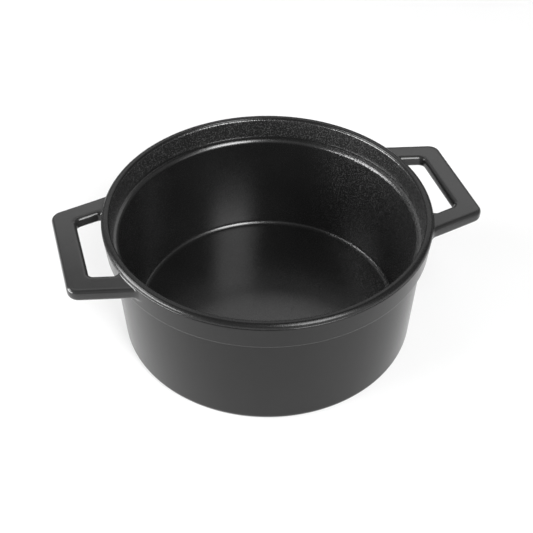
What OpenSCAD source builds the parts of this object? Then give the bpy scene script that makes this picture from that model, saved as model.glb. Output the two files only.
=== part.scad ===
// Round cast iron dutch oven: one iron casting with two loop handles and a
// lid ledge inside the rim, under separate coats of vitreous enamel.
// Origin at the centre of the underside, +Z up, handles along +X and -X.

/* [Pot] */
// Outer radius at the rim
rim_r = 125; // [115:1:135]
// Height from the underside to the rim
pot_h = 109.5; // [95:0.5:140]
// How much further in the body's outside stands at the base than under the collar
body_taper = 3.8; // [1:0.1:6]
// Radius of the rounded edge round the base
base_edge_r = 6; // [4:0.5:9]
// Thickness of the floor, coats included
floor_t = 6; // [5:0.1:10]
// Lean of the bowl's inner wall from the vertical, in degrees
bowl_lean = 4.9; // [1:0.1:6]
// Radius of the hollow between the wall and the floor
floor_fillet_r = 4.5; // [3:0.5:15]

/* [Collar and rim] */
// Height of the collar, from the rim to its lower edge
collar_h = 22; // [22:0.5:28]
// How much the collar widens from its lower edge to the rim
collar_flare = 1.5; // [0.5:0.1:2.5]
// How far the collar's lower edge stands out from the body
collar_step = 4; // [2.5:0.1:4]
// Radius of the rounded lower edge of the collar
step_edge_r = 1.3; // [1:0.1:2]
// Radius of the hollow that runs from that edge into the body
step_hollow_r = 3.2; // [3:0.1:5]
// Radius of the rim's outer rounding
rim_outer_round = 3.4; // [2:0.1:3.6]
// Radius of the rim's inner rounding
rim_inner_round = 1.5; // [1:0.1:1.6]
// Width of the rim, from its outer to its inner side
rim_w = 6; // [5.3:0.1:7]

/* [Lid ledge] */
// Depth of the lid ledge below the rim
ledge_depth = 17.5; // [12:0.5:20]
// Distance from the rim radius in to the back of the ledge
recess_t = 7.4; // [7:0.1:8.5]
// Width of the ledge, from its back to the bowl's wall
ledge_w = 5; // [4.6:0.1:6]
// Radius of the hollow corner at the back of the ledge
ledge_corner_r = 0.5; // [0.4:0.1:0.6]
// Radius of the rounded inner edge of the ledge
ledge_edge_r = 4; // [1:0.1:4]

/* [Handles] */
// How far the handle's outer edge reaches beyond the rim radius
handle_out = 33; // [28:0.5:42]
// Thickness of the handle, coats included
handle_t = 9.8; // [7:0.1:12]
// Depth of the handle's top face below the rim
handle_drop = 4.9; // [4:0.1:6]
// Half the handle's outer width where it meets the rim radius
handle_root_w = 52.8; // [48:0.1:56]
// Half the handle's outer width at its outer edge
handle_tip_w = 45.1; // [40:0.1:47]
// Width of the cross bar of the handle
bar_w = 17.2; // [12:0.1:18]
// Width of each arm of the handle
arm_w = 17.1; // [12:0.1:19]
// Radius of the handle's outer corners
handle_corner_r = 9; // [6:0.5:12]
// Radius of the corners of the finger opening
opening_corner_r = 4.5; // [2:0.5:5]
// Radius of the fillet between an arm and the collar
root_fillet_r = 10; // [6:0.5:14]

/* [Coats] */
// Thickness of every enamel coat
coat = 0.4; // [0.3:0.05:0.5]

/* [Base] */
// Distance from the start of the base's rounding in to the foot ring's inner edge
foot_w = 9.7; // [6:0.1:20]
// Height of the foot ring below the coated middle of the base
foot_h = 0.6; // [0.4:0.1:1]
// Height of the gap between the resting plane and the outer coat
coat_gap = 0.35; // [0.3:0.05:0.5]

/* [Hidden] */

// Outer radius of the collar at its lower edge
collar_base_r = rim_r - collar_flare;
// Outer radius of the body just under the collar and at the base
body_top_r = collar_base_r - collar_step;
body_base_r = body_top_r - body_taper;
// Outer radius of the lid ledge and inner radius of the bowl just under it
ledge_outer_r = rim_r - recess_t;
bowl_top_r = ledge_outer_r - ledge_w;
// Distance from the pot's axis to the handle's outer edge
handle_reach = rim_r + handle_out;
// Distance from the pot's axis at which the handle plates start, inside the wall
root_x = rim_r - 30;
// Inner radius of the ground foot ring
foot_inner_r = body_base_r - base_edge_r - foot_w;
// Segments in a quarter of a small and of a large rounding
small_steps = 5;
large_steps = 10;
// How far the root fillets of the handles run in under the collar's face
fillet_sink = 0.5;

// Points along an arc about [x, z], from angle a to angle b
function arc(x, z, r, a, b, steps) =
    [for (i = [0:steps]) let (t = a + (b - a) * i / steps) [x + r * cos(t), z + r * sin(t)]];

// A list of points without its first, which the line before it already has
function rest(points) = [for (i = [1:len(points) - 1]) points[i]];

// A list of points the other way round
function reversed(points) = [for (i = [len(points) - 1:-1:0]) points[i]];

// Outer radius of the collar at height z
function collar_r(z) =
    collar_base_r + (rim_r - collar_base_r)
    * (z - (pot_h - collar_h)) / (collar_h - rim_outer_round);

// Outer edge of the ground foot ring, where the outer coat ends
foot_outer_r = body_base_r - base_edge_r
    + sqrt(pow(base_edge_r, 2) - pow(base_edge_r - coat_gap, 2));

// Outside of the pot from the foot ring up to the rim's outer rounding,
// set in by g from the face of the coat
function outside(g) =
    let (r = base_edge_r - g, x = body_base_r - base_edge_r,
         start = -acos((foot_outer_r - x) / r))
    concat(
        arc(x, base_edge_r, r, start, 0, large_steps),
        step_hollow(g),
        rest(step_edge(g)),
        [[rim_r - g, pot_h - rim_outer_round]]
    );

// How far the step's two arcs turn to lead from the body out to the collar
step_turn = acos(1 - (collar_base_r - body_top_r) / (step_edge_r + step_hollow_r));

// Rounded lower edge of the collar, set in by g
function step_edge(g) =
    arc(collar_base_r - step_edge_r, pot_h - collar_h, step_edge_r - g,
        -step_turn, 0, small_steps);

// Hollow from the body up to that edge, set in by g
function step_hollow(g) =
    arc(body_top_r + step_hollow_r,
        pot_h - collar_h - (step_edge_r + step_hollow_r) * sin(step_turn),
        step_hollow_r + g, 180, 180 - step_turn, large_steps);

// Over the rim, from its outer to its inner rounding
function rim(g) =
    concat(
        arc(rim_r - rim_outer_round, pot_h - rim_outer_round,
            rim_outer_round - g, 0, 90, large_steps),
        arc(rim_r - rim_w + rim_inner_round, pot_h - rim_inner_round,
            rim_inner_round - g, 90, 180, small_steps)
    );

// Inside of the pot from the rim's inner rounding to the middle of the floor,
// set in by g
function inside(g) =
    let (ledge_z = pot_h - ledge_depth)
    concat(
        [[rim_r - rim_w + g, pot_h - rim_inner_round]],
        arc(ledge_outer_r - ledge_corner_r, ledge_z + ledge_corner_r,
            ledge_corner_r + g, 0, -90, small_steps),
        arc(bowl_top_r + ledge_edge_r, ledge_z - ledge_edge_r,
            ledge_edge_r - g, 90, 180 - bowl_lean, large_steps),
        floor_fillet(g),
        [[0, floor_t - g]]
    );

// Hollow that runs tangent from the leaning wall into the floor, set in by g
function floor_fillet(g) =
    let (wall_x = bowl_top_r + ledge_edge_r * (1 - cos(bowl_lean)),
         wall_z = pot_h - ledge_depth - ledge_edge_r * (1 - sin(bowl_lean)),
         low_z = floor_t + floor_fillet_r * (1 - sin(bowl_lean)),
         low_x = wall_x - (wall_z - low_z) * tan(bowl_lean))
    arc(low_x - floor_fillet_r * cos(bowl_lean), floor_t + floor_fillet_r,
        floor_fillet_r + g, -bowl_lean, -90, large_steps);

// Underside of the casting: recessed middle and flat foot ring
underside = [
    [0, foot_h + coat],
    [foot_inner_r, foot_h + coat],
    [foot_inner_r, 0],
    [foot_outer_r, 0]
];

// Ring-shaped coat between an outer line and an inner one
module coat_between(face, back) {
    rotate_extrude()
        polygon(concat(face, reversed(back)));
}

// One long edge of a handle arm, as half its width at distance x
function arm_half_w(x, inset) =
    handle_root_w + (handle_tip_w - handle_root_w) * (x - rim_r) / (handle_reach - rim_r)
    - inset;

// Angle between an arm and the X axis
arm_angle = atan((handle_root_w - handle_tip_w) / (handle_reach - rim_r));

// Height of the middle of the handles
handle_mid_z = pot_h - handle_drop - handle_t / 2;

// Rounded outer corner of a handle, set in by g
function outer_corner(g) =
    let (r = handle_corner_r - g,
         x = handle_reach - handle_corner_r,
         y = arm_half_w(x, handle_corner_r / cos(arm_angle)))
    arc(x, y, r, 90 - arm_angle, 0, large_steps);

// Rounded corner of the finger opening, set out by g
function opening_corner(g) =
    let (r = opening_corner_r + g,
         x = handle_reach - bar_w - opening_corner_r,
         y = arm_half_w(x, (arm_w + opening_corner_r) / cos(arm_angle)))
    arc(x, y, r, 0, 90 - arm_angle, small_steps);

// Hollow fillet from the collar out into an arm, set in by g
function root_fillet(g) =
    let (collar = collar_r(handle_mid_z) - fillet_sink,
         across = root_fillet_r / cos(arm_angle),
         slope = tan(arm_angle),
         y0 = arm_half_w(0, 0) + across,
         // where the fillet's centre line crosses its circle about the axis
         qa = 1 + pow(slope, 2),
         qb = -2 * slope * y0,
         qc = pow(y0, 2) - pow(collar + root_fillet_r, 2),
         x = (-qb + sqrt(pow(qb, 2) - 4 * qa * qc)) / (2 * qa),
         y = y0 - slope * x)
    arc(x, y, root_fillet_r + g, 180 + atan2(y, x), 270 - arm_angle, large_steps);

// Half of a handle's outline from inside the wall round to the bar's middle
function handle_side(g) =
    concat(
        [[root_x, root_fillet(g)[0][1]]],
        root_fillet(g),
        outer_corner(g)
    );

// Half of the finger opening's outline, from inside the wall to the bar
function opening_side(g) =
    concat(
        [[root_x, arm_half_w(root_x, arm_w / cos(arm_angle) - g)]],
        reversed(opening_corner(g))
    );

// Outline mirrored to the other side of the X axis
function across(points) = [for (p = reversed(points)) [p[0], -p[1]]];

// Bracket-shaped plan of a handle, set in by g from the face of its coat
module handle_plan(g) {
    difference() {
        polygon(concat(handle_side(g), across(handle_side(g))));
        polygon(concat(opening_side(g), across(opening_side(g))));
    }
}

// Handle as a plate, its roots reaching into the wall
module handle_plate(g) {
    translate([0, 0, pot_h - handle_drop - handle_t + g])
        linear_extrude(handle_t - 2 * g)
            handle_plan(g);
}

// Solid cone that follows the collar's outer face, set in by g
module collar_core(g) {
    low = pot_h - collar_h;
    high = pot_h;
    translate([0, 0, low])
        cylinder(h = high - low, r1 = collar_r(low) - g, r2 = collar_r(high) - g, $fn = 180);
}

// Casting of wall, floor, ledge and collar
module iron_pot() {
    color("dimgray")
        rotate_extrude()
            polygon(concat(underside, outside(coat), rim(coat), inside(coat)));
}

// Loop handle cast on the side of the pot
module iron_handle() {
    color("dimgray")
        difference() {
            handle_plate(coat);
            collar_core(coat);
        }
}

// Satin coat on the outside of the wall and collar, open where a handle grows
// out of the iron
module exterior_enamel() {
    color([0.13, 0.13, 0.13])
        difference() {
            coat_between(outside(0), outside(coat));
            handle_plate(coat);
            rotate([0, 0, 180]) handle_plate(coat);
        }
}

// Textured coat on the floor, wall, ledge and recess
module interior_enamel() {
    color([0.09, 0.09, 0.09])
        coat_between(inside(0), inside(coat));
}

// Coat over the top of the rim
module rim_enamel() {
    color([0.17, 0.17, 0.17])
        coat_between(rim(0), rim(coat));
}

// Coat in the recessed middle of the underside
module base_enamel() {
    color([0.12, 0.12, 0.12])
        translate([0, 0, foot_h])
            cylinder(h = coat, r = foot_inner_r, $fn = 180);
}

// Satin coat round a handle
module handle_enamel() {
    color([0.15, 0.15, 0.15])
        difference() {
            handle_plate(0);
            handle_plate(coat);
            collar_core(0);
        }
}

iron_pot();
rotate([0, 0, 180]) iron_handle();  // iron_handle_left
iron_handle();  // iron_handle_right
exterior_enamel();
interior_enamel();
rim_enamel();
base_enamel();
rotate([0, 0, 180]) handle_enamel();  // handle_left_enamel
handle_enamel();  // handle_right_enamel
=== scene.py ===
"""Round enamelled cast iron dutch oven without its lid, standing on a pale floor.

Every length is in metres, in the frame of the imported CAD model: origin at the centre of the
underside, +Z up, the loop handles along +X and -X.
"""

import math

import bpy
from mathutils import Matrix, Vector


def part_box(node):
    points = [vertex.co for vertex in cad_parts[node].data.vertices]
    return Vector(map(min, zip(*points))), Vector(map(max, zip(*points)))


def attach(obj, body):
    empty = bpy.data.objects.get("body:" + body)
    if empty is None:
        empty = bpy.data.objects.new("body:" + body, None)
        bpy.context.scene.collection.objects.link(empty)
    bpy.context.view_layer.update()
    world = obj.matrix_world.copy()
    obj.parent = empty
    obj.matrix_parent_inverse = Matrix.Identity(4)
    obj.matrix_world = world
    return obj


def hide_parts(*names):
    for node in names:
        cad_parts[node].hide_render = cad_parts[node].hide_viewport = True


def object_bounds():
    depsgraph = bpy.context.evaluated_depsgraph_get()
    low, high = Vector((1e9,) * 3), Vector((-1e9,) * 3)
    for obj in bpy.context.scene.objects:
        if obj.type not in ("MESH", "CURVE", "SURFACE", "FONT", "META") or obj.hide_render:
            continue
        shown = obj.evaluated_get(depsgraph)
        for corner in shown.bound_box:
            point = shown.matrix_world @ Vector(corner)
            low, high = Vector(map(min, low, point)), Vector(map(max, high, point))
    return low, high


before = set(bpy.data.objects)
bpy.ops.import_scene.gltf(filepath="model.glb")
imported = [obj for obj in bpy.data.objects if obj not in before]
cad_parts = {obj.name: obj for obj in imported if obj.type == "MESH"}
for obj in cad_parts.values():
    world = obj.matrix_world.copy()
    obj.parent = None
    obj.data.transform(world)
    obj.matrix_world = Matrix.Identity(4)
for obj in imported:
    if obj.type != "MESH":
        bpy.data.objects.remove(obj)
CAD_LOW, CAD_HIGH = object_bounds()

MM = 0.001

# ---------------------------------------------------------------- sizes from the frame
RIM_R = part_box("rim_enamel")[1].x
POT_H = CAD_HIGH.z
REACH = CAD_HIGH.x
HANDLE_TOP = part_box("handle_right_enamel")[1].z
HANDLE_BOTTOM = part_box("handle_right_enamel")[0].z
FOOT_COAT_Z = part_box("exterior_enamel")[0].z

# ---------------------------------------------------------------- pot: sizes the frame doesn't name
# Radii ending in _BASE_R and _TOP_R are the pot's own, the others are roundings; BOWL_LEAN is in degrees.
COAT = 0.4 * MM
COLLAR_H = 21.3 * MM
COLLAR_BASE_R = RIM_R - 1.5 * MM
BODY_TOP_R = RIM_R - 5.5 * MM
BODY_BASE_R = RIM_R - 9.3 * MM
BASE_EDGE_R = 6 * MM
STEP_OUT_R = 2.6 * MM
STEP_IN_R = 1.9 * MM
RIM_W = 6.0 * MM
RIM_OUT_R = 3.4 * MM
RIM_IN_R = 1.5 * MM
LEDGE_DEPTH = 17.5 * MM
LEDGE_OUT_R = RIM_R - 7.4 * MM
LEDGE_CORNER_R = 0.2 * MM
LEDGE_EDGE_R = 4.6 * MM
BOWL_TOP_R = RIM_R - 12.4 * MM
BOWL_LEAN = 4.9
FLOOR_T = 6 * MM
FLOOR_FILLET_R = 4.5 * MM

# ---------------------------------------------------------------- handles
# Half widths over the arms at the rim and at the tip, then widths of bar and arms, then roundings.
HANDLE_ROOT_W = 52.8 * MM
HANDLE_TIP_W = 45.1 * MM
BAR_W = 17.2 * MM
ARM_W = 17.1 * MM
HANDLE_CORNER_R = 9 * MM
OPENING_CORNER_R = 4.5 * MM
ROOT_FILLET_R = 10 * MM
OPENING_ROOT_R = 3.2 * MM
ARRIS_R = 3.0 * MM
UNDER_ARRIS_R = 4.0 * MM
TOP_FILLET_R = 1.4 * MM
UNDER_FILLET_R = 3.0 * MM

# Where an arm meets the collar: the start of its face inside the collar's, the length over which it
# bends to the collar, and how far its coat and its iron reach into the collar.
ROOT_SINK = 0.01 * MM
ROOT_GAP = 9 * MM
COAT_ROOT = 0.75 * COAT
CORE_ROOT = 1.5 * COAT

# ---------------------------------------------------------------- fineness of the meshes
SEGMENTS = 384
AXIS_R = 0.0001 * MM

# Steps along the profile, from the foot round to the floor's middle.
FOOT_STEPS = 14
BODY_STEPS = 24
HOLLOW_STEPS = 14
STEP_STEPS = 12
COLLAR_STEPS = 10
RIM_OUT_STEPS = 16
RIM_IN_STEPS = 12
RECESS_STEPS = 10
LEDGE_CORNER_STEPS = 10
LEDGE_EDGE_STEPS = 20
WALL_STEPS = 40
FILLET_STEPS = 18
FLOOR_STEPS = 60

# Stations along half a handle, and steps round its section.
ROOT_STATIONS = 18
ARM_STATIONS = 6
CORNER_STATIONS = 12
BAR_STATIONS = 14
ARRIS_STEPS = 6
ACROSS_STEPS = 8

# ---------------------------------------------------------------- enamel and iron
# Scales are in features per metre, greys and shares have no unit.
NOISE_LOW, NOISE_HIGH = 0.3, 0.7
CLOUD_SCALE = 45.0
RIPPLE_SCALE = 160.0
PEEL_SCALE = 900.0
RIPPLE = 0.01 * MM
SATIN_DARK, SATIN_LIGHT = 0.9, 1.1
SATIN_ROUGH_PART = 0.03

MIST_SCALE = 30.0
BEAD_SCALE = 900.0
GRIT_SCALE = 2200.0
MIST_PART = 0.15
GRIT_SHARE = 0.2
TEXTURED_ROUGH_PART = 0.05
TEXTURED_IOR = 1.62

# Where the inside's beads are coarser, and where painted light goes: painted glints on the bead tops at
# the +X end and in the lid's recess.
COARSE_GLINT_START = 0.5 * BOWL_TOP_R
COARSE_GLINT_FULL = 0.85 * BOWL_TOP_R
RECESS_BLEND = 1 * MM
BEAD_GAIN = 8.0
# Extra grey that paints the lid's recess lighter: painted sheen.
RECESS_PAINTED_SHEEN = 0.004
GLINT_START, GLINT_FULL = 0.5, 0.68
PAINTED_GLINT_GREY = 0.03

IRON_DARK = (0.16, 0.155, 0.15)
IRON_LIGHT = (0.26, 0.255, 0.25)
IRON_CLOUD_SCALE = 90.0
IRON_ROUGH, IRON_ROUGH_PART = 0.465, 0.085
IRON_DEPTH = 0.04 * MM
TURNING_SCALE = 180.0
TURNING_DEPTH = 0.02 * MM

# ---------------------------------------------------------------- stage
FLOOR_SIZE = 8.0
FLOOR_DARK, FLOOR_LIGHT = 0.43, 0.45
FLOOR_CLOUD_SCALE = 4.0
FLOOR_ROUGH = 0.9
FLOOR_GLOW = 0.41

# Greys of the surroundings at heights from the horizon, 0, to straight up, 1.
SKY = ((0.0, 0.5), (0.22, 0.1), (0.5, 0.3), (0.7, 0.25), (0.85, 0.03))

# Soft boxes: name, azimuth, elevation, width, height, power.
LAMP_DISTANCE = 1.6
LAMPS = (
    ("key", 15, 37, 0.75, 0.9, 34),
    ("top", 23, 62, 0.55, 0.4, 5),
    ("left_low", -92, 10, 1.4, 0.55, 50),
    ("left_high", -107, 31, 0.7, 0.6, 13),
    ("rear_left", 178, 60, 1.2, 0.55, 3),
    ("right_low", 28, 12, 1.2, 0.5, 3.5),
    ("backdrop", 163, 38, 2.6, 0.35, 4),
)

# ---------------------------------------------------------------- camera
# Sensor and lens in millimetres, pitch and yaw in radians, distance level from the pot's axis.
SENSOR = 36.0
LENS = 67.542
CLIP_START, CLIP_END = 0.05, 20.0
CAM_AZIMUTH = math.radians(-16.57)
CAM_DISTANCE = 4.6949 * RIM_R
CAM_HEIGHT = POT_H + 3.7989 * RIM_R
CAM_PITCH = 0.7395
CAM_YAW = -0.0012


def make_camera():
    """Level camera that looks down into the pot from the front and left."""
    data = bpy.data.cameras.new("camera")
    data.sensor_width = SENSOR
    data.lens = LENS
    data.clip_start, data.clip_end = CLIP_START, CLIP_END
    camera = bpy.data.objects.new("camera", data)
    bpy.context.collection.objects.link(camera)
    camera.location = (
        CAM_DISTANCE * math.sin(CAM_AZIMUTH),
        -CAM_DISTANCE * math.cos(CAM_AZIMUTH),
        CAM_HEIGHT,
    )
    camera.rotation_euler = (math.pi / 2 - CAM_PITCH, 0.0, CAM_AZIMUTH - CAM_YAW)
    bpy.context.scene.camera = camera


# ---------------------------------------------------------------- mesh helpers
def arc(x, z, r, start, end, steps):
    """Points along an arc about (x, z); angles in degrees."""
    turns = [math.radians(start + (end - start) * i / steps) for i in range(steps + 1)]
    return [(x + r * math.cos(t), z + r * math.sin(t)) for t in turns]


def line(a, b, steps):
    """Points from a to b, without the first."""
    return [
        (a[0] + (b[0] - a[0]) * i / steps, a[1] + (b[1] - a[1]) * i / steps)
        for i in range(1, steps + 1)
    ]


def new_mesh(name, verts, faces, smooth=True):
    """Object made of the given corners and faces."""
    mesh = bpy.data.meshes.new(name)
    mesh.from_pydata(verts, [], faces)
    mesh.validate()
    mesh.update()
    if smooth:
        mesh.shade_smooth()
    piece = bpy.data.objects.new(name, mesh)
    bpy.context.collection.objects.link(piece)
    return piece


def lathe(name, profile):
    """Turns a closed profile of (radius, height) points about the Z axis.

    Points on the axis become one corner."""
    verts, rings = [], []
    for r, z in profile:
        if r < AXIS_R:
            rings.append([len(verts)] * SEGMENTS)
            verts.append((0.0, 0.0, z))
        else:
            rings.append(list(range(len(verts), len(verts) + SEGMENTS)))
            for k in range(SEGMENTS):
                turn = 2 * math.pi * k / SEGMENTS
                verts.append((r * math.cos(turn), r * math.sin(turn), z))
    faces = []
    for low, high in zip(rings, rings[1:] + rings[:1]):
        for k in range(SEGMENTS):
            m = (k + 1) % SEGMENTS
            face = []
            for corner in (low[k], low[m], high[m], high[k]):
                if corner not in face:
                    face.append(corner)
            if len(face) > 2:
                faces.append(face)
    return new_mesh(name, verts, faces)


def collar_r(z):
    """Radius of the collar's outer face at height z."""
    low, high = POT_H - COLLAR_H, POT_H - RIM_OUT_R
    return COLLAR_BASE_R + (RIM_R - COLLAR_BASE_R) * (z - low) / (high - low)


# ---------------------------------------------------------------- profiles of the pot
def outside_profile(inset=0.0):
    """From the foot ring up the body, over the step and up the collar to the rim's rounding."""
    centre = BODY_BASE_R - BASE_EDGE_R
    start = -math.degrees(math.asin((BASE_EDGE_R - FOOT_COAT_Z - inset) / (BASE_EDGE_R - inset)))
    points = arc(centre, BASE_EDGE_R, BASE_EDGE_R - inset, start, 0, FOOT_STEPS)

    reach = STEP_OUT_R + STEP_IN_R
    lean = math.acos(1 - (COLLAR_BASE_R - BODY_TOP_R) / reach)
    lean_deg = math.degrees(lean)
    out_x, out_z = COLLAR_BASE_R - STEP_OUT_R, POT_H - COLLAR_H
    in_x, in_z = out_x + reach * math.cos(lean), out_z - reach * math.sin(lean)
    hollow = arc(in_x, in_z, STEP_IN_R + inset, 180, 180 - lean_deg, HOLLOW_STEPS)
    points += line(points[-1], hollow[0], BODY_STEPS) + hollow[1:]
    points += arc(out_x, out_z, STEP_OUT_R - inset, -lean_deg, 0, STEP_STEPS)[1:]
    points += line(points[-1], (RIM_R - inset, POT_H - RIM_OUT_R), COLLAR_STEPS)
    return points


def rim_profile(inset=0.0):
    """Over the rim from its outer to its inner rounding."""
    out_x, in_x = RIM_R - RIM_OUT_R, RIM_R - RIM_W + RIM_IN_R
    outer = arc(out_x, POT_H - RIM_OUT_R, RIM_OUT_R - inset, 0, 90, RIM_OUT_STEPS)
    inner = arc(in_x, POT_H - RIM_IN_R, RIM_IN_R - inset, 90, 180, RIM_IN_STEPS)
    return outer + inner


def inside_profile(inset=0.0):
    """From the rim's inner rounding down the recess, over the ledge and down to the floor's middle."""
    ledge_z = POT_H - LEDGE_DEPTH
    corner_x, corner_z = LEDGE_OUT_R - LEDGE_CORNER_R, ledge_z + LEDGE_CORNER_R
    corner = arc(corner_x, corner_z, LEDGE_CORNER_R + inset, 0, -90, LEDGE_CORNER_STEPS)
    points = [(RIM_R - RIM_W + inset, POT_H - RIM_IN_R)]
    points += line(points[0], corner[0], RECESS_STEPS) + corner[1:]

    edge_x, edge_z = BOWL_TOP_R + LEDGE_EDGE_R, ledge_z - LEDGE_EDGE_R
    points += arc(edge_x, edge_z, LEDGE_EDGE_R - inset, 90, 180 - BOWL_LEAN, LEDGE_EDGE_STEPS)

    lean = math.radians(BOWL_LEAN)
    wall_x, wall_z = edge_x - LEDGE_EDGE_R * math.cos(lean), edge_z + LEDGE_EDGE_R * math.sin(lean)
    low_z = FLOOR_T + FLOOR_FILLET_R * (1 - math.sin(lean))
    low_x = wall_x - (wall_z - low_z) * math.tan(lean)
    fillet_x, fillet_z = low_x - FLOOR_FILLET_R * math.cos(lean), FLOOR_T + FLOOR_FILLET_R
    fillet = arc(fillet_x, fillet_z, FLOOR_FILLET_R + inset, -BOWL_LEAN, -90, FILLET_STEPS)
    points += line(points[-1], fillet[0], WALL_STEPS) + fillet[1:]
    points += line(points[-1], (0.0, FLOOR_T - inset), FLOOR_STEPS)
    return points


def shell(name, profile):
    """Closed coat between the face of a profile and its back, one coat's thickness in."""
    return lathe(name, profile(0.0) + list(reversed(profile(COAT))))


# ---------------------------------------------------------------- handles
ARM_LEAN = math.atan((HANDLE_ROOT_W - HANDLE_TIP_W) / (REACH - RIM_R))
ARM_TAN = math.tan(ARM_LEAN)
ARM_COS = math.cos(ARM_LEAN)
HANDLE_MID = (HANDLE_TOP + HANDLE_BOTTOM) / 2
ROOT_R = collar_r(HANDLE_MID) - ROOT_SINK
CONE = (RIM_R - COLLAR_BASE_R) / (COLLAR_H - RIM_OUT_R)


def arm_line(inset):
    """Half width of the handle at the pot's axis, for an edge set in by that much."""
    return HANDLE_ROOT_W + ARM_TAN * RIM_R - inset / ARM_COS


def line_at_radius(y0, rho):
    """Point of the line y = y0 - ARM_TAN x at distance rho from the pot's axis."""
    a, b, c = 1 + ARM_TAN**2, -2 * ARM_TAN * y0, y0**2 - rho**2
    x = (-b + math.sqrt(b * b - 4 * a * c)) / (2 * a)
    return Vector((x, y0 - ARM_TAN * x))


def root_point(side, gap, inset):
    """Point of an arm's edge at that gap from the collar: the outer edge (side 1) or the opening's (-1).

    Next to the collar the edge is a fillet tangent to it, further out it is straight."""
    radius = ROOT_FILLET_R if side > 0 else OPENING_ROOT_R
    edge = 0.0 if side > 0 else ARM_W
    centre = line_at_radius(arm_line(edge - side * radius), ROOT_R + radius)
    normal = Vector((math.sin(ARM_LEAN), math.cos(ARM_LEAN)))
    rho, reach = ROOT_R + gap, centre.length
    curve = radius + inset
    if rho < (centre - side * normal * curve).length:
        turn = math.acos(min(1.0, (reach**2 + rho**2 - curve**2) / (2 * reach * rho)))
        angle = math.atan2(centre.y, centre.x) - side * turn
        return Vector((rho * math.cos(angle), rho * math.sin(angle)))
    return line_at_radius(arm_line(edge + side * inset), rho)


def flare(gap, radius):
    """How far a face of the arm has run out into its fillet at that gap from the collar."""
    if gap >= radius:
        return 0.0
    return radius - math.sqrt(radius**2 - (radius - gap) ** 2)


def half_stations():
    """Stations of half a handle, from the collar out to the middle of the bar.

    Each is (gap from the collar or None, edge), where edge(side, inset) is a point of the outer
    edge (side 1) or of the opening's edge (side -1)."""
    stations = []
    for i in range(ROOT_STATIONS + 1):
        gap = ROOT_GAP * (i / ROOT_STATIONS) ** 2
        stations.append((gap, lambda side, inset, gap=gap: root_point(side, gap, inset)))

    def corner(side, inset, turn):
        if side > 0:
            radius, x = HANDLE_CORNER_R - inset, REACH - HANDLE_CORNER_R
            y = arm_line(HANDLE_CORNER_R) - ARM_TAN * x
        else:
            radius, x = OPENING_CORNER_R + inset, REACH - BAR_W - OPENING_CORNER_R
            y = arm_line(ARM_W + OPENING_CORNER_R) - ARM_TAN * x
        return Vector((x + radius * math.cos(turn), y + radius * math.sin(turn)))

    start = math.pi / 2 - ARM_LEAN
    for i in range(1, ARM_STATIONS):
        share = i / ARM_STATIONS
        stations.append(
            (
                None,
                lambda side, inset, share=share: root_point(side, ROOT_GAP, inset).lerp(
                    corner(side, inset, start), share
                ),
            )
        )
    for i in range(CORNER_STATIONS + 1):
        turn = start * (1 - i / CORNER_STATIONS)
        stations.append((None, lambda side, inset, turn=turn: corner(side, inset, turn)))
    for i in range(1, BAR_STATIONS + 1):
        share = i / BAR_STATIONS

        def bar(side, inset, share=share):
            end = corner(side, inset, 0.0)
            return Vector((end.x, end.y * (1 - share)))

        stations.append((None, bar))
    return stations


def section(gap, edge, inset):
    """Ring of points round the handle at one station, set in from its face by inset."""
    arris, under = ARRIS_R - inset, UNDER_ARRIS_R - inset
    near = 0.0 if gap is None else max(0.0, 1 - gap / ROOT_GAP)
    top = HANDLE_TOP - inset + (0.0 if gap is None else flare(gap, TOP_FILLET_R))
    bottom = HANDLE_BOTTOM + inset - (0.0 if gap is None else flare(gap, UNDER_FILLET_R))
    quarter = [math.pi / 2 * i / ARRIS_STEPS for i in range(ARRIS_STEPS + 1)]
    up = [(arris * (1 - math.sin(t)), top - arris * (1 - math.cos(t))) for t in quarter]
    down = [(under * (1 - math.sin(t)), bottom + under * (1 - math.cos(t))) for t in quarter]
    outer = up + list(reversed(down))
    ring = [(edge(1, inset + a), z) for a, z in outer]
    inner = [(edge(-1, inset + a), z) for a, z in reversed(outer)]
    ring += across(ring[-1], inner[0], gap) + inner
    ring += across(inner[-1], ring[0], gap)
    points = []
    for p, z in ring:
        lean = 1 + near * CONE * (z - HANDLE_MID) / p.length
        points.append(Vector((p.x * lean, p.y * lean, z)))
    return points


def across(a, b, gap):
    """Points between two edges over the top or under the bottom, bent like the collar next to it."""
    points = []
    for i in range(1, ACROSS_STEPS):
        share = i / ACROSS_STEPS
        p = a[0].lerp(b[0], share)
        if gap is not None:
            p = p.normalized() * a[0].length
        points.append((p, a[1] + (b[1] - a[1]) * share))
    return points


def handle_rings(inset, root):
    """Rings from one root of a handle to the other; the first and last lie at radius root, in the wall."""
    rings = [section(gap, edge, inset) for gap, edge in half_stations()]
    sunk = []
    for p in rings[0]:
        flat = Vector((p.x, p.y))
        flat = flat.normalized() * (flat.length - root)
        sunk.append(Vector((flat.x, flat.y, p.z)))
    rings.insert(0, sunk)
    mirrored = [[Vector((p.x, -p.y, p.z)) for p in ring] for ring in reversed(rings[:-1])]
    return rings + mirrored


def tube_faces(rings, first, flip):
    """Faces of the tube through the rings, whose first corner has that number."""
    n = len(rings[0])
    faces = []
    for i in range(len(rings) - 1):
        for k in range(n):
            m = (k + 1) % n
            quad = [first + i * n + k, first + i * n + m, first + (i + 1) * n + m, first + (i + 1) * n + k]
            faces.append(quad[::-1] if flip else quad)
    return faces


def handle_coat(name):
    """Coat round a handle: its face, its back and the two ring-shaped ends in the wall."""
    face, back = handle_rings(0.0, COAT_ROOT), handle_rings(COAT, COAT_ROOT)
    n, last = len(face[0]), len(face) - 1
    verts = [p for ring in face + back for p in ring]
    offset = len(face) * n
    faces = tube_faces(face, 0, True) + tube_faces(back, offset, False)
    for k in range(n):
        m = (k + 1) % n
        faces.append([k, m, offset + m, offset + k])
        a, b = last * n + k, last * n + m
        faces.append([b, a, offset + a, offset + b])
    return new_mesh(name, verts, faces)


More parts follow.
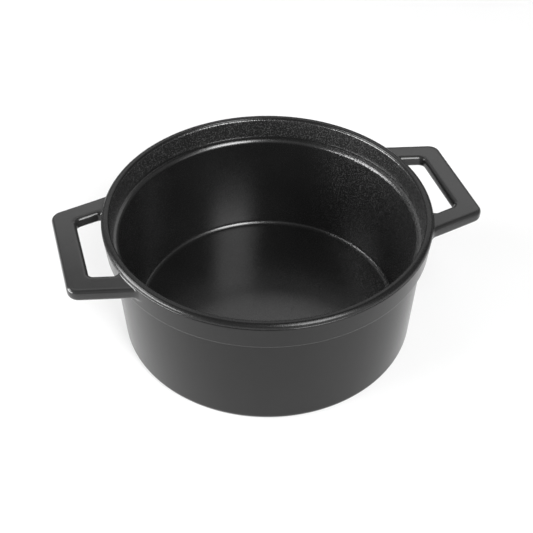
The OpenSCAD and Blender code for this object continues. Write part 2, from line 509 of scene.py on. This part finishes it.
def handle_core(name):
    """Iron of a handle, from wall to wall."""
    rings = handle_rings(COAT, CORE_ROOT)
    n = len(rings[0])
    verts = [p for ring in rings for p in ring]
    faces = tube_faces(rings, 0, True)
    faces.append(list(range(n)))
    faces.append([(len(rings) - 1) * n + k for k in reversed(range(n))])
    return new_mesh(name, verts, faces)


def turned(piece):
    """The piece turned half round the pot's axis, in its mesh."""
    piece.data.transform(Matrix.Rotation(math.pi, 4, "Z"))
    return piece


# ---------------------------------------------------------------- materials
def material(name):
    """New node material, its links, its shader and a helper that adds nodes."""
    made = bpy.data.materials.new(name)
    made.use_nodes = True
    tree = made.node_tree

    def add(kind, **inputs):
        node = tree.nodes.new(kind)
        for key, value in inputs.items():
            node.inputs[key].default_value = value
        return node

    return made, tree.links, tree.nodes["Principled BSDF"], add


def grain(links, add, scale, detail=3.0, rough=0.55):
    """Noise over the object's own space, with scale in features per metre."""
    place = add("ShaderNodeTexCoord")
    noise = add("ShaderNodeTexNoise", Scale=scale, Detail=detail, Roughness=rough)
    links.new(place.outputs["Object"], noise.inputs["Vector"])
    return noise.outputs["Fac"]


def mapped(links, add, source, start, end, low, high, kind="LINEAR"):
    """Runs from low to high while the source goes from start to end."""
    node = add("ShaderNodeMapRange")
    node.interpolation_type = kind
    node.inputs["From Min"].default_value = start
    node.inputs["From Max"].default_value = end
    node.inputs["To Min"].default_value = low
    node.inputs["To Max"].default_value = high
    links.new(source, node.inputs["Value"])
    return node.outputs["Result"]


def spread(links, add, noise, middle, part):
    """Maps noise onto the middle value, give or take a part."""
    return mapped(links, add, noise, NOISE_LOW, NOISE_HIGH, middle - part, middle + part)


def eased(links, add, source, start, end, low=0.0, high=1.0):
    """Runs smoothly from low to high while the source goes from start to end."""
    return mapped(links, add, source, start, end, low, high, "SMOOTHSTEP")


def calculated(links, add, operation, *sources):
    """One Math node, fed by sockets and plain numbers."""
    node = add("ShaderNodeMath")
    node.operation = operation
    for source, socket in zip(sources, node.inputs):
        if isinstance(source, float):
            socket.default_value = source
        else:
            links.new(source, socket)
    return node.outputs["Value"]


def bumped(links, add, shader, layers):
    """Chains bumps of (height source, depth in metres or its socket) into the shader."""
    last = None
    for source, depth in layers:
        bump = add("ShaderNodeBump", Strength=1.0)
        if isinstance(depth, float):
            bump.inputs["Distance"].default_value = depth
        else:
            links.new(depth, bump.inputs["Distance"])
        links.new(source, bump.inputs["Height"])
        if last is not None:
            links.new(last, bump.inputs["Normal"])
        last = bump.outputs["Normal"]
    links.new(last, shader.inputs["Normal"])


def tinted(links, add, shader, noise, dark, light):
    """Base colour that runs from dark to light with the noise."""
    ramp = add("ShaderNodeValToRGB")
    stops = ramp.color_ramp.elements
    stops[0].position, stops[1].position = NOISE_LOW, NOISE_HIGH
    stops[0].color, stops[1].color = (*dark, 1.0), (*light, 1.0)
    links.new(noise, ramp.inputs["Fac"])
    links.new(ramp.outputs["Color"], shader.inputs["Base Color"])


def satin_enamel(name, grey, rough, ior, peel):
    """Smooth satin black coat with a faint orange peel."""
    made, links, shader, add = material(name)
    cloud = grain(links, add, CLOUD_SCALE)
    fine = grain(links, add, PEEL_SCALE)
    wave = grain(links, add, RIPPLE_SCALE)
    tinted(links, add, shader, cloud, (grey * SATIN_DARK,) * 3, (grey * SATIN_LIGHT,) * 3)
    links.new(spread(links, add, fine, rough, SATIN_ROUGH_PART), shader.inputs["Roughness"])
    bumped(links, add, shader, [(wave, RIPPLE), (fine, peel)])
    shader.inputs["IOR"].default_value = ior
    return made


def coarse_and_glint_places(links, add):
    """Two masks: 1 in the lid's recess, which is painted lighter as painted sheen, and 1 there or at the
    wall's +X end, where the beads are coarser and carry painted glints.
    """
    place, split = add("ShaderNodeTexCoord"), add("ShaderNodeSeparateXYZ")
    links.new(place.outputs["Object"], split.inputs["Vector"])
    ledge_z = POT_H - LEDGE_DEPTH
    recess = eased(links, add, split.outputs["Z"], ledge_z, ledge_z + RECESS_BLEND)
    end = eased(links, add, split.outputs["X"], COARSE_GLINT_START, COARSE_GLINT_FULL)
    return recess, calculated(links, add, "MAXIMUM", recess, end)


def textured_enamel(name, grey, rough, depth):
    """Matt black coat sprayed in beads, coarser in the lid's recess and at the wall's +X end; there
    painted glints lighten the bead tops, and the recess is painted lighter as painted sheen.
    """
    made, links, shader, add = material(name)
    beads = grain(links, add, BEAD_SCALE, detail=1.0, rough=0.4)
    grit = grain(links, add, GRIT_SCALE, detail=1.0)
    mist = grain(links, add, MIST_SCALE)
    recess, coarse_glint_mask = coarse_and_glint_places(links, add)
    tops = eased(links, add, beads, GLINT_START, GLINT_FULL)
    painted_glints = calculated(links, add, "MULTIPLY", tops, coarse_glint_mask)

    tint = spread(links, add, mist, grey, grey * MIST_PART)
    # Painted sheen: the lid's recess is painted lighter.
    tint = calculated(links, add, "MULTIPLY_ADD", recess, RECESS_PAINTED_SHEEN, tint)
    # Painted glints: the bead tops in the recess and at the +X end are painted lighter.
    tint = calculated(links, add, "MULTIPLY_ADD", painted_glints, PAINTED_GLINT_GREY, tint)
    links.new(tint, shader.inputs["Base Color"])
    links.new(spread(links, add, grit, rough, TEXTURED_ROUGH_PART), shader.inputs["Roughness"])

    height = eased(links, add, coarse_glint_mask, 0.0, 1.0, depth, depth * BEAD_GAIN)
    bumped(links, add, shader, [(beads, height), (grit, depth * GRIT_SHARE)])
    shader.inputs["IOR"].default_value = TEXTURED_IOR
    return made


def ground_iron(name):
    """Bare iron with fine turning marks round the foot ring."""
    made, links, shader, add = material(name)
    place = add("ShaderNodeTexCoord")
    marks = add("ShaderNodeTexWave", Scale=TURNING_SCALE, Distortion=2.0, Detail=2.0)
    marks.wave_type = "RINGS"
    marks.rings_direction = "Z"
    links.new(place.outputs["Object"], marks.inputs["Vector"])
    cloud = grain(links, add, IRON_CLOUD_SCALE)
    tinted(links, add, shader, cloud, IRON_DARK, IRON_LIGHT)
    links.new(spread(links, add, cloud, IRON_ROUGH, IRON_ROUGH_PART), shader.inputs["Roughness"])
    bumped(links, add, shader, [(marks.outputs["Fac"], TURNING_DEPTH), (cloud, IRON_DEPTH)])
    shader.inputs["Metallic"].default_value = 1.0
    return made


def pale_floor(name):
    """Plain pale floor that is nearly even in brightness."""
    made, links, shader, add = material(name)
    cloud = grain(links, add, FLOOR_CLOUD_SCALE)
    tinted(links, add, shader, cloud, (FLOOR_DARK,) * 3, (FLOOR_LIGHT,) * 3)
    shader.inputs["Roughness"].default_value = FLOOR_ROUGH
    shader.inputs["Emission Color"].default_value = (1.0, 1.0, 1.0, 1.0)
    shader.inputs["Emission Strength"].default_value = FLOOR_GLOW
    return made


# ---------------------------------------------------------------- stage and lights
def make_floor():
    """Floor that the foot ring stands on."""
    s = FLOOR_SIZE / 2
    floor = new_mesh("floor", [(-s, -s, 0), (s, -s, 0), (s, s, 0), (-s, s, 0)], [[0, 1, 2, 3]], False)
    floor.data.materials.append(pale_floor("pale_floor"))


def soft_box(name, azimuth, elevation, width, height, power):
    """Soft box on a sphere round the pot, facing its middle.

    Azimuth 0 is in front of the pot, at -Y, and 90 is at its right, at +X."""
    a, e = math.radians(azimuth), math.radians(elevation)
    back = Vector((math.sin(a) * math.cos(e), -math.cos(a) * math.cos(e), math.sin(e)))
    data = bpy.data.lights.new(name, "AREA")
    data.shape = "RECTANGLE"
    data.size, data.size_y = width, height
    data.energy = power
    lamp = bpy.data.objects.new(name, data)
    lamp.visible_camera = False
    bpy.context.collection.objects.link(lamp)
    lamp.location = Vector((0, 0, POT_H / 2)) + back * LAMP_DISTANCE
    lamp.rotation_mode = "QUATERNION"
    lamp.rotation_quaternion = back.to_track_quat("Z", "Y")


def make_lamps():
    """All the soft boxes."""
    for lamp in LAMPS:
        soft_box(*lamp)


def make_world():
    """Surroundings whose grey depends on the height above the horizon."""
    world = bpy.data.worlds.new("studio")
    world.use_nodes = True
    nodes, links = world.node_tree.nodes, world.node_tree.links
    place = nodes.new("ShaderNodeTexCoord")
    height = nodes.new("ShaderNodeSeparateXYZ")
    ramp = nodes.new("ShaderNodeValToRGB")
    links.new(place.outputs["Generated"], height.inputs["Vector"])
    links.new(height.outputs["Z"], ramp.inputs["Fac"])
    links.new(ramp.outputs["Color"], nodes["Background"].inputs["Color"])
    stops = ramp.color_ramp.elements
    for up, _ in SKY[1:-1]:
        stops.new(up)
    for stop, (up, grey) in zip(stops, SKY):
        stop.position = up
        stop.color = (grey, grey, grey, 1.0)
    bpy.context.scene.world = world


# ---------------------------------------------------------------- the object
def finish_piece(piece, look, node):
    """Gives a piece its material and its body, and hides the CAD node that it stands for."""
    piece.data.materials.append(look)
    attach(piece, "root")
    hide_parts(node)


def make_coats():
    """Coats on the outside, the rim and the inside."""
    satin = satin_enamel("satin_black_enamel", grey=0.005, rough=0.2, ior=1.35, peel=0.003 * MM)
    edge_satin = satin_enamel("rim_black_enamel", grey=0.007, rough=0.26, ior=1.35, peel=0.03 * MM)
    textured = textured_enamel("textured_black_enamel", grey=0.007, rough=0.24, depth=0.03 * MM)
    finish_piece(shell("exterior_coat", outside_profile), satin, "exterior_enamel")
    finish_piece(shell("rim_coat", rim_profile), edge_satin, "rim_enamel")
    finish_piece(shell("interior_coat", inside_profile), textured, "interior_enamel")


def make_handles(iron):
    """Coats and iron of the two handles."""
    # The handles' coat is the outside's satin coat painted about three times lighter: painted sheen that
    # stands in for the light on the handle tops.
    satin = satin_enamel("handle_painted_sheen_enamel", grey=0.016, rough=0.2, ior=1.42, peel=0.003 * MM)
    right, left = handle_coat("handle_right_coat"), turned(handle_coat("handle_left_coat"))
    finish_piece(right, satin, "handle_right_enamel")
    finish_piece(left, satin, "handle_left_enamel")
    right, left = handle_core("handle_right_core"), turned(handle_core("handle_left_core"))
    finish_piece(right, iron, "iron_handle_right")
    finish_piece(left, iron, "iron_handle_left")


def make_pot():
    """Every piece of the pot; its iron and its base coat are the CAD nodes with new materials."""
    iron = ground_iron("ground_iron")
    ground_coat = textured_enamel("ground_coat_enamel", grey=0.018, rough=0.6, depth=0.04 * MM)
    make_coats()
    make_handles(iron)
    for node, look in (("iron_pot", iron), ("base_enamel", ground_coat)):
        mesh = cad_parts[node].data
        mesh.materials.clear()
        mesh.materials.append(look)


make_camera()
make_pot()
make_floor()
make_world()
make_lamps()

bpy.context.scene.view_settings.view_transform = "Standard"
